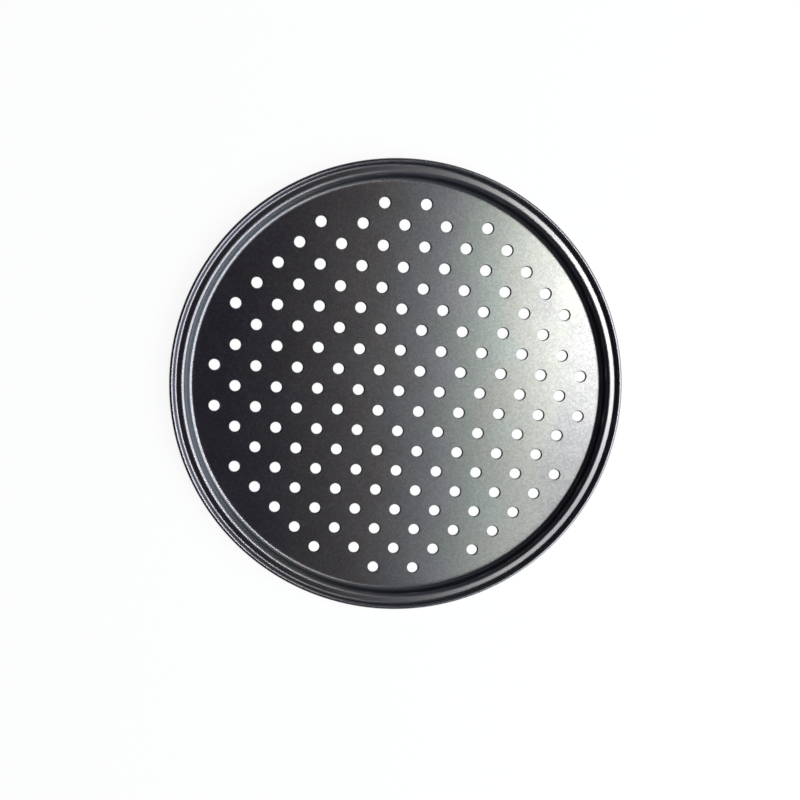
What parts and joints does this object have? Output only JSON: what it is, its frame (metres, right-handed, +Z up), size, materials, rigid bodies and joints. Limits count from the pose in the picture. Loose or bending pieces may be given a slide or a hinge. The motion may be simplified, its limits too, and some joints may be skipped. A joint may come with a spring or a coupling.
{
  "type": "perforated pizza pan",
  "caption": "Round non-stick pizza pan with a punched floor, a low stepped rim and a wire-stiffened rolled edge, for baking a pizza with a crisp base.",
  "frame": {"origin": "centre of the underside of the floor, on the plane that the pan stands on", "axes": "+Z up through the pan's axis; +X and +Y along the rows of holes"},
  "size_m": [0.3198, 0.3198, 0.0121],
  "materials": {
    "non_stick_coating": "satin dark charcoal non-stick coating with a fine speckle, on carbon steel",
    "bare_wire": "drawn steel wire, uncoated"
  },
  "bodies": {
    "root": {"perforated_pan": "non_stick_coating", "rim_wire": "bare_wire"}
  },
  "joints": []
}
